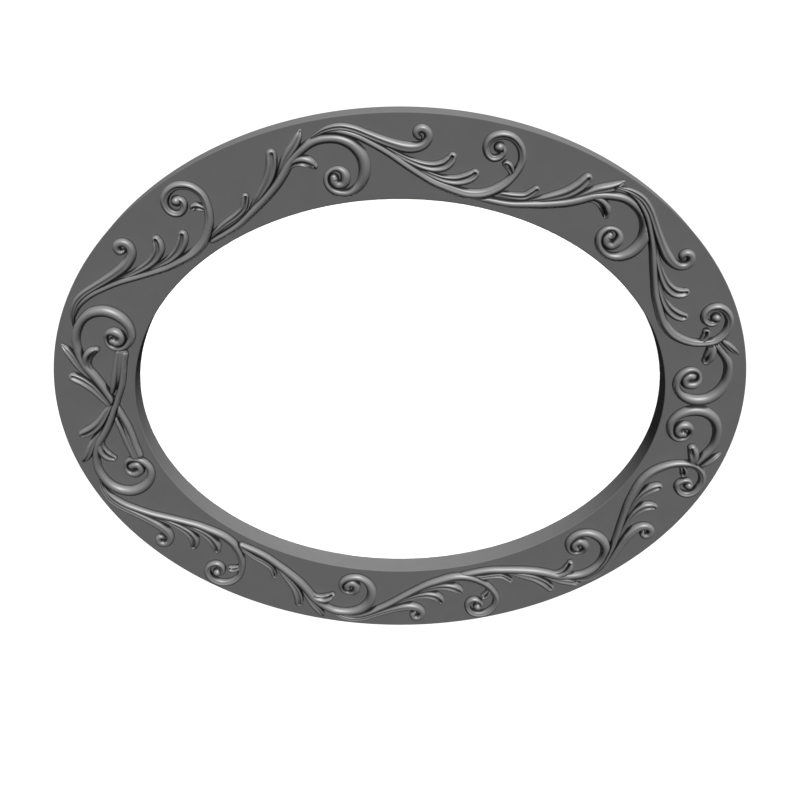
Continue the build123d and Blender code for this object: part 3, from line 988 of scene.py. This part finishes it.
@dataclass
class Ornament:
    """The running scroll: castings laid round the upper half of the face and mirrored below."""

    layout: Layout
    drawn_half_length: float = 817.0
    drawn_half_band: float = 36.0
    scroll_places: tuple[float, ...] = (76.2, 354.7, 610.5, 787.9)
    frond_places: tuple[float, ...] = (158.1, 425.4, 671.2)
    scroll_feet: tuple[tuple[float, float], ...] = ((-115, -27), (1, -15))
    frond_feet: tuple[tuple[float, float], ...] = ((-60, 27), (60, 17))
    trace_steps: int = 2400
    duck_inside: float = 0.5
    duck_slope: float = 0.5
    duck_reach: float = 36.0
    duck_under: float = 0.4

    def __post_init__(self) -> None:
        """Measure the band's middle line, so that places along it can be found by length."""
        outer, sight = self.layout.outer, self.layout.sight
        self.band = Oval((outer.width + sight.width) / 2, (outer.height + sight.height) / 2)
        self.half_band = min(outer.width - sight.width, outer.height - sight.height) / 4
        self.travel = [0.0]
        spot = self.band.point(180.0)
        for k in range(1, self.trace_steps + 1):
            after = self.band.point(180.0 - 180.0 * k / self.trace_steps)
            self.travel.append(self.travel[-1] + (after - spot).length)
            spot = after

    def angle_at(self, along: float) -> float:
        """Parameter angle of a place along the upper half of the band.

        Args:
            along: How far it is from the band's left end, negative in the lower half.

        Returns:
            The angle in degrees.
        """
        target = abs(along) / self.drawn_half_length * self.travel[-1]
        k = min(range(len(self.travel)), key=lambda step: abs(self.travel[step] - target))
        turned = 180.0 * k / self.trace_steps
        return 180.0 - math.copysign(turned, along)

    def on_band(self, along: float, across: float) -> Vector:
        """Point (x, z) of the face: along the band from its left end, and across it outward."""
        return self.band.point(self.angle_at(along), across * self.half_band / self.drawn_half_band)

    def lay(self, casting: Casting, feet: tuple[tuple[float, float], ...], place: float) -> Matrix:
        """Where a casting lies, with its two feet where the band has them.

        Args:
            casting: The casting.
            feet: Two of its points, along and across.
            place: Place of its zero along the band.

        Returns:
            The matrix that takes it from its drawing to the face.
        """
        flat = [casting.on_arc(*foot) for foot in feet]
        laid = [self.on_band(place + along, across) for along, across in feet]
        turn = (flat[1] - flat[0]).angle_signed(laid[1] - laid[0])
        spin = Matrix.Rotation(-turn, 2)
        origin = (laid[0] + laid[1]) / 2 - spin @ ((flat[0] + flat[1]) / 2)
        stand = Matrix(((1, 0, 0, 0), (0, 0, -1, 0), (0, 1, 0, 0), (0, 0, 0, 1)))
        move = Matrix.Translation((origin.x, -self.layout.front_face, origin.y))
        return move @ stand @ Matrix.Rotation(-turn, 4, "Z")

    def course(self, casting: Casting, lay: Matrix, *strokes: int) -> list[tuple[Vector, float]]:
        """Spots along some strokes of a casting laid on the face, each with the half width there.

        Args:
            casting: The casting.
            lay: Where it lies.
            strokes: Numbers of the strokes.

        Returns:
            The spots.
        """
        rows = [row for number in strokes for row in casting.stations(casting.strokes[number])]
        return [(lay @ row.centre.to_3d(), row.half) for row in rows]

    def duck(self, bm: Mesh, course: list[tuple[Vector, float]]) -> None:
        """Sink a casting where another runs over it.

        Args:
            bm: The casting, laid on the face.
            course: Spots along the strokes that run over it.
        """
        over = KDTree(len(course))
        for k, (spot, _) in enumerate(course):
            over.insert((spot.x, 0.0, spot.z), k)
        over.balance()
        face = -self.layout.front_face
        for vert in bm.verts:
            _, k, gap = over.find((vert.co.x, 0.0, vert.co.z))
            share = min(1.0, max(0.0, (gap / course[k][1] - self.duck_inside) / self.duck_slope))
            if vert.co.y < face:
                kept = share * share * (3.0 - 2.0 * share)
                vert.co.y = face + (vert.co.y - face) * kept + self.duck_under * (1.0 - kept)

    def drawings(self) -> tuple[tuple[Casting, ...], tuple[Casting, ...]]:
        """Draw the castings of the upper half.

        Returns:
            The fronds and the scrolls, each from left to right.
        """
        upper_groove = Groove(at=-0.15, tip_depth=0.25)
        lower_groove = Groove(at=-0.4, width=0.28, tip_depth=0.8, onset=2.0)
        stem = Groove()
        twig = Groove(at=0.1, width=0.36, root_depth=0.08, tip_depth=0.42, onset=1.6)
        club = Groove(at=-0.2, width=0.36, root_depth=0.06, tip_depth=0.36, onset=1.6)
        leaves = (
            Stroke(UPPER_LEAF, upper_groove),
            Stroke(LOWER_LEAF, lower_groove, LEAFY),
            Stroke(NEAR_TENDRIL, club, LEAFY),
        )
        web = Stroke(END_WEB, stem, LEAFY, lift=0.7)
        end_strokes = (Stroke(END_TAIL + SCROLL_CROOK, stem), *leaves, Stroke(END_TENDRIL, stem), web)
        crown_strokes = (Stroke(SCROLL_TAIL + SCROLL_CROOK, stem), *leaves, Stroke(FAR_TENDRIL, club, LEAFY))
        short_strokes = (
            Stroke(SHORT_CROOK + SCROLL_CROOK[2:], stem),
            Stroke(SHORT_UPPER_LEAF, upper_groove),
            Stroke(SHORT_LOWER_LEAF, lower_groove, LEAFY),
        )
        frond_strokes = (
            Stroke(FROND_STEM, Groove(at=0.3, width=0.26, tip_depth=0.16, onset=0.8)),
            Stroke(FROND_BUD, Groove(at=-0.05, root_depth=0.26)),
            Stroke(NEAR_TWIG, twig, LEAFY),
            Stroke(FAR_TWIG, twig, LEAFY),
            Stroke(THORN, Groove(at=0.2, width=0.34, tip_depth=0.6), LEAFY),
        )
        scale = self.half_band / self.drawn_half_band
        crossed = Casting(end_strokes, SCROLL_EYE, scale, END_RADIUS)
        scroll = Casting(crown_strokes, SCROLL_EYE, scale)
        short = Casting(short_strokes, SCROLL_EYE, scale, END_RADIUS)
        side_frond = Casting(frond_strokes, FROND_EYE, scale, SIDE_RADIUS)
        crown_frond = Casting(frond_strokes, FROND_EYE, scale)
        return (side_frond, crown_frond, side_frond), (crossed, scroll, scroll, short)

    def build(self, paint: Material) -> None:
        """Make the castings and lay them on the face.

        Args:
            paint: Their finish.
        """
        fronds, scrolls = self.drawings()
        over, run = [], []
        for n, (casting, place) in enumerate(zip(fronds, self.frond_places), 1):
            lay = self.lay(casting, self.frond_feet, place)
            run.append((f"frond_{n}", casting, lay, []))
            over.append(self.course(casting, lay, 0, 1))
        for n, (casting, place) in enumerate(zip(scrolls, self.scroll_places), 1):
            lay = self.lay(casting, self.scroll_feet, place)
            run.append((f"scroll_{n}", casting, lay, sum(over[max(0, n - 2) : n], [])))
        for name, casting, lay, covered in run:
            for half in ("upper", "lower"):
                bm = casting.mesh()
                bmesh.ops.transform(bm, matrix=lay, verts=bm.verts)
                if covered:
                    self.duck(bm, covered)
                if half == "lower":
                    bmesh.ops.scale(bm, vec=(1, 1, -1), verts=bm.verts)
                elif casting is scrolls[0]:
                    stem = self.course(casting, lay, 0)
                    crossing = [(spot, reach) for spot, reach in stem if abs(spot.z) < self.duck_reach]
                    self.duck(bm, [(Vector((spot.x, spot.y, -spot.z)), reach) for spot, reach in crossing])
                node = f"{half}_{name}"
                piece = make_piece(f"casting_{node}", bm, paint, ROUND_CREASE)
                settle(piece, FIXED, node)


@dataclass
class TurnButtons:
    """The plates that keep the package in, each on its own body."""

    layout: Layout
    count: int = 8
    setback: float = 9.0
    reach: float = 16.0
    heel_radius: float = 5.5
    tip_radius: float = 4.0
    bore_radius: float = 1.58
    thickness: float = 1.5
    play: float = 0.1
    arris: float = 0.3
    arris_steps: int = 2
    segments: int = 64

    def build(self, plate: Material) -> None:
        """Make the buttons and dress them.

        Args:
            plate: Their finish.
        """
        for n in range(self.count):
            angle = 360.0 * n / self.count
            pivot = self.layout.pocket.point(angle, self.setback)
            normal = self.layout.pocket.normal(angle)
            bm = bmesh.new()
            rim = bmesh.ops.create_circle(bm, segments=self.segments, radius=self.heel_radius)
            tip = [vert for vert in rim["verts"] if vert.co.x > -WELD]
            taper = self.tip_radius / self.heel_radius
            bmesh.ops.scale(bm, vec=(taper, taper, 1), verts=tip)
            bmesh.ops.translate(bm, vec=(self.reach, 0, 0), verts=tip)
            bmesh.ops.create_circle(bm, segments=self.segments, radius=self.bore_radius)
            bmesh.ops.bridge_loops(bm, edges=list(bm.edges))
            lay = Matrix(
                (
                    (-normal.x, -normal.y, 0, pivot.x),
                    (0, 0, 1, self.play - self.layout.back_face),
                    (-normal.y, normal.x, 0, pivot.y),
                    (0, 0, 0, 1),
                )
            )
            bmesh.ops.transform(bm, matrix=lay, verts=bm.verts)
            raise_walls(bm, self.thickness)
            soften(bm, self.arris, self.arris_steps)
            node = f"turn_button_{n + 1}"
            settle(make_piece(f"plate_{node}", bm, plate), node, node)


@dataclass
class Hangers:
    """The two strap hangers and their D rings."""

    layout: Layout
    angle: float = 24.0
    strap_width: float = 11.0
    strap_thickness: float = 1.2
    strap_length: float = 42.0
    foot_round: float = 4.9
    foot_steps: int = 8
    wire_radius: float = 1.5
    wire_segments: int = 20
    clearance: float = 0.08
    ring_width: float = 21.0
    ring_height: float = 17.0
    ring_corner: float = 3.2
    crown_share: float = 0.96
    rest_gap: float = 0.3
    roll_deg: float = 300.0
    roll_steps: int = 30
    bend_steps: int = 10
    strap_arris: float = 0.2
    arris_steps: int = 2

    def build(self, plate: Material) -> None:
        """Make both hangers and dress them.

        Args:
            plate: Their finish.
        """
        spot = self.layout.rebate_middle.point(self.angle)
        pivot_z = spot.y + self.strap_length / 2
        for side, x in (("right", spot.x), ("left", -spot.x)):
            self.strap(side, x, pivot_z, plate)
            self.ring(side, x, pivot_z, plate)

    @property
    def eye_radius(self) -> float:
        """Outside of the strap's rolled eye."""
        return self.wire_radius + self.clearance + self.strap_thickness

    def strap(self, side: str, x: float, pivot_z: float, plate: Material) -> None:
        """A strip with a round foot, rolled into an eye at its upper end.

        Args:
            side: Which hanger.
            x: Its place across.
            pivot_z: Height of its eye.
            plate: Its finish.
        """
        back = -self.layout.back_face
        middle = back + self.strap_thickness / 2
        bm = bmesh.new()
        half = self.strap_width / 2
        foot = [bm.verts.new((x + edge, middle, pivot_z - self.strap_length)) for edge in (-half, half)]
        strip = bm.edges.new(foot)
        top = bmesh.ops.extrude_edge_only(bm, edges=[strip])["geom"]
        bmesh.ops.translate(bm, vec=(0, 0, self.strap_length), verts=verts_of(top))
        bmesh.ops.bevel(
            bm,
            geom=foot,
            offset=self.foot_round,
            segments=self.foot_steps,
            profile=0.5,
            affect="VERTICES",
            material=-1,
        )
        bm.edges.ensure_lookup_table()
        lip = [edge for edge in bm.edges if all(abs(v.co.z - pivot_z) < TOUCH for v in edge.verts)]
        bmesh.ops.spin(
            bm,
            geom=lip,
            cent=(x, back + self.eye_radius, pivot_z),
            axis=(1, 0, 0),
            angle=-math.radians(self.roll_deg),
            steps=self.roll_steps,
            use_merge=False,
        )
        piece = make_piece(f"strap_{side}", bm, plate)
        thicken = piece.modifiers.new("sheet", "SOLIDIFY")
        thicken.thickness = self.strap_thickness * MM
        thicken.offset = 0.0
        edge = piece.modifiers.new("edge", "BEVEL")
        edge.width = self.strap_arris * MM
        edge.segments = self.arris_steps
        edge.limit_method = "ANGLE"
        settle(piece, FIXED, f"hanger_strap_{side}")

    def ring(self, side: str, x: float, pivot_z: float, plate: Material) -> None:
        """A D of round wire whose straight bar lies in the strap's eye.

        Args:
            side: Which hanger.
            x: Its place across.
            pivot_z: Height of its bar.
            plate: Its finish.
        """
        half = self.ring_width / 2 - self.wire_radius
        crown = self.crown_share * half
        bm = bmesh.new()
        turn = Matrix.Rotation(math.pi / 2, 4, "Y")
        bmesh.ops.create_circle(bm, segments=self.wire_segments, radius=self.wire_radius, matrix=turn)
        tip = list(bm.edges)
        flat, shoulder = half - self.ring_corner, self.ring_height - crown
        rise = shoulder - self.ring_corner
        for step, centre in (
            ((flat, 0, 0), (flat, 0, self.ring_corner)),
            ((0, 0, rise), (half - crown, 0, shoulder)),
            ((2 * (crown - half), 0, 0), (crown - half, 0, shoulder)),
            ((0, 0, -rise), (-flat, 0, self.ring_corner)),
        ):
            tip = self.bend(bm, self.run(bm, tip, step), centre)
        self.run(bm, tip, (flat, 0, 0))
        lean = math.asin((self.eye_radius - self.wire_radius - self.rest_gap) / self.ring_height)
        pivot = Matrix.Translation((x, self.eye_radius - self.layout.back_face, pivot_z))
        lay = pivot @ Matrix.Rotation(lean, 4, "X")
        bmesh.ops.transform(bm, matrix=lay, verts=bm.verts)
        node = f"hanger_ring_{side}"
        settle(make_piece(f"wire_{node}", bm, plate, ROUND_CREASE), node, node)

    def run(self, bm: Mesh, tip: Edges, step: Triple) -> Edges:
        """Extend a wire straight on.

        Args:
            bm: The wire's mesh.
            tip: Edges of its open end.
            step: How far.

        Returns:
            Edges of the new open end.
        """
        fresh = verts_of(bmesh.ops.extrude_edge_only(bm, edges=tip)["geom"])
        bmesh.ops.translate(bm, vec=step, verts=fresh)
        return [edge for edge in bm.edges if all(vert in fresh for vert in edge.verts)]

    def bend(self, bm: Mesh, tip: Edges, centre: Triple) -> Edges:
        """Turn a wire by a quarter, anticlockwise seen from the face.

        Args:
            bm: The wire's mesh.
            tip: Edges of its open end.
            centre: Centre of the bend.

        Returns:
            Edges of the new open end.
        """
        made = bmesh.ops.spin(
            bm,
            geom=tip,
            cent=centre,
            axis=(0, -1, 0),
            angle=math.pi / 2,
            steps=self.bend_steps,
            use_merge=False,
        )
        return [item for item in made["geom_last"] if isinstance(item, bmesh.types.BMEdge)]


@dataclass
class Bumpers:
    """The rubber feet at the lower back."""

    layout: Layout
    angles: tuple[float, ...] = (235.0, 305.0)
    radius: float = 8.0
    round: float = 3.0
    round_steps: int = 8
    segments: int = 48

    def build(self, rubber: Material) -> None:
        """Make both bumpers as one piece and dress it.

        Args:
            rubber: Their finish.
        """
        bm = bmesh.new()
        height = self.layout.back_face
        for angle in self.angles:
            spot = self.layout.rebate_middle.point(angle)
            lay = Matrix.Translation((spot.x, -height / 2, spot.y)) @ Matrix.Rotation(-math.pi / 2, 4, "X")
            bmesh.ops.create_cone(
                bm,
                cap_ends=True,
                segments=self.segments,
                radius1=self.radius,
                radius2=self.radius,
                depth=height,
                matrix=lay,
            )
        rear = [edge for edge in bm.edges if all(vert.co.y > -TOUCH for vert in edge.verts)]
        bevel(bm, rear, self.round, self.round_steps)
        settle(make_piece("bumper_pair", bm, rubber), FIXED, "wall_bumpers")


@dataclass(frozen=True)
class Sun:
    """A distant lamp, with its angles in degrees and its heading counted round from the front."""

    name: str
    heading: float
    height: float
    strength: float
    softness: float
    shadows: bool
    glints: bool

    def build(self) -> None:
        """Hang the lamp in the scene."""
        data = bpy.data.lights.new(self.name, "SUN")
        data.energy = self.strength
        data.angle = math.radians(self.softness)
        data.use_shadow = self.shadows
        lamp = bpy.data.objects.new(self.name, data)
        lamp.visible_glossy = self.glints
        lamp.rotation_euler = (math.radians(90.0 - self.height), 0.0, math.radians(self.heading))
        bpy.context.scene.collection.objects.link(lamp)


@dataclass
class Studio:
    """Floor, light and camera."""

    lens: float = 43.806
    sensor: float = 36.0
    eye: Triple = (0.0, -0.8464, 0.4367)
    look_down: float = 28.224
    floor_drop: float = 0.9
    floor_size: float = 60.0
    key: Sun = Sun("key_light", 26.0, 61.0, strength=7.85, softness=6.0, shadows=False, glints=True)
    rear: Sun = Sun("rear_light", 180.0, 2.0, strength=2.3, softness=12.0, shadows=True, glints=False)
    floor_pale: float = 0.5
    floor_dim: float = 0.012
    floor_gloss: float = 0.03
    ambient: float = 0.04

    def build(self) -> None:
        """Set up the whole studio."""
        self.camera()
        self.key.build()
        self.rear.build()
        self.floor()
        self.world()
        bpy.context.scene.view_settings.view_transform = "Standard"

    def camera(self) -> None:
        """A camera where the photograph was taken."""
        data = bpy.data.cameras.new("camera")
        data.lens = self.lens
        data.sensor_width = self.sensor
        camera = bpy.data.objects.new("camera", data)
        camera.location = self.eye
        camera.rotation_euler = (math.radians(90.0 - self.look_down), 0.0, 0.0)
        bpy.context.scene.collection.objects.link(camera)
        bpy.context.scene.camera = camera

    def seen(self, tree: bpy.types.NodeTree, gloss: float = 1.0) -> Socket:
        """A factor that is 1 for what the camera sees, directly, in gloss or through glass.

        Args:
            tree: Node tree that it goes in.
            gloss: The factor for what it sees in gloss.

        Returns:
            The factor.
        """
        path = add_node(tree, "ShaderNodeLightPath")
        dulled = add_node(tree, "ShaderNodeMath", operation="MULTIPLY")
        dulled.inputs[1].default_value = gloss
        tree.links.new(path.outputs["Is Glossy Ray"], dulled.inputs[0])
        total = path.outputs["Is Camera Ray"]
        for other in (dulled.outputs["Value"], path.outputs["Is Transmission Ray"]):
            either = add_node(tree, "ShaderNodeMath", operation="MAXIMUM")
            tree.links.new(total, either.inputs[0])
            tree.links.new(other, either.inputs[1])
            total = either.outputs["Value"]
        return total

    def floor(self) -> None:
        """A pale floor well below the frame, which throws little light back up."""
        bm = bmesh.new()
        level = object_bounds()[0].z - self.floor_drop
        lay = Matrix.Translation((0, 0, level))
        bmesh.ops.create_grid(bm, x_segments=2, y_segments=2, size=self.floor_size, matrix=lay)
        mesh = bpy.data.meshes.new("floor")
        bm.to_mesh(mesh)
        bm.free()
        floor = bpy.data.objects.new("floor", mesh)
        bpy.context.scene.collection.objects.link(floor)
        material = bpy.data.materials.new("pale_floor")
        material.use_nodes = True
        tree = material.node_tree
        tree.nodes.clear()
        output = add_node(tree, "ShaderNodeOutputMaterial")
        mix = add_node(tree, "ShaderNodeMixShader")
        dim = add_node(tree, "ShaderNodeBsdfDiffuse", Color=(*(self.floor_dim,) * 3, 1.0))
        pale = add_node(tree, "ShaderNodeBsdfDiffuse", Color=(*(self.floor_pale,) * 3, 1.0))
        tree.links.new(self.seen(tree, self.floor_gloss), mix.inputs["Fac"])
        tree.links.new(dim.outputs["BSDF"], mix.inputs[1])
        tree.links.new(pale.outputs["BSDF"], mix.inputs[2])
        tree.links.new(mix.outputs["Shader"], output.inputs["Surface"])
        mesh.materials.append(material)
        floor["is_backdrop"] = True

    def world(self) -> None:
        """White to the camera, and a little light from all round."""
        world = bpy.data.worlds.new("studio")
        world.use_nodes = True
        tree = world.node_tree
        back = tree.nodes["Background"]
        level = add_node(tree, "ShaderNodeMapRange", To_Min=self.ambient, To_Max=1.0)
        tree.links.new(self.seen(tree), level.inputs["Value"])
        tree.links.new(level.outputs["Result"], back.inputs["Strength"])
        back.inputs["Color"].default_value = (1.0, 1.0, 1.0, 1.0)
        bpy.context.scene.world = world


def dress_solids(frame: dict, finish: Material, *nodes: str) -> None:
    """Give solids that stay as they are a finish.

    Args:
        frame: The loaded frame.
        finish: Their material.
        nodes: Their names.
    """
    for node in nodes:
        mesh = frame["nodes"][node].data
        mesh.materials.clear()
        mesh.materials.append(finish)
        log.info("%s keeps its solid", node)


def main() -> None:
    """Load the frame, build its pieces and light them."""
    logging.basicConfig(level=logging.INFO)
    for leftover in list(bpy.data.objects):
        bpy.data.objects.remove(leftover)
    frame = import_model()
    layout = Layout()
    finishes = {
        "grey_face": SatinPaint("grey_face_paint", 0.103, roughness=0.7, gloss=0.0).material(),
        # The castings' paint is painted nearly black in its recesses: painted shade driven by ambient
        # occlusion.
        "grey_casting": SatinPaint(
            "grey_casting_paint", 0.112, roughness=0.5, gloss=0.6, painted_shade=0.02
        ).material(),
        "bare_wood": Plywood("bare_plywood").material(),
        "clear_glass": PictureGlass("picture_glass").material(),
        "white_card": Sheet(
            "white_card", (0.93, 0.93, 0.925), (0.92, 0.92, 0.915), specks=300.0, roughness=0.8, tooth=0.05
        ).material(),
        "foam_board": Sheet(
            "foam_board", (0.86, 0.86, 0.84), (0.8, 0.8, 0.78), specks=500.0, roughness=0.8, tooth=0.2
        ).material(),
        "hardboard": Sheet(
            "hardboard", (0.24, 0.135, 0.065), (0.13, 0.068, 0.03), specks=420.0, roughness=0.55, tooth=0.35
        ).material(),
        "screw_steel": ZincPlate("screw_steel", roughness=0.28).material(),
        "plated_steel": ZincPlate("plated_steel").material(),
        "bumper_rubber": BumperRubber("bumper_rubber").material(),
    }
    Rings(layout).build(finishes["grey_face"], finishes["bare_wood"])
    Package(layout).build(finishes)
    Ornament(layout).build(finishes["grey_casting"])
    TurnButtons(layout).build(finishes["plated_steel"])
    Hangers(layout).build(finishes["plated_steel"])
    Bumpers(layout).build(finishes["bumper_rubber"])
    dress_solids(frame, finishes["screw_steel"], "frame_screws", "button_screws", "hanger_screws")
    Studio().build()


if __name__ == "__main__":
    main()
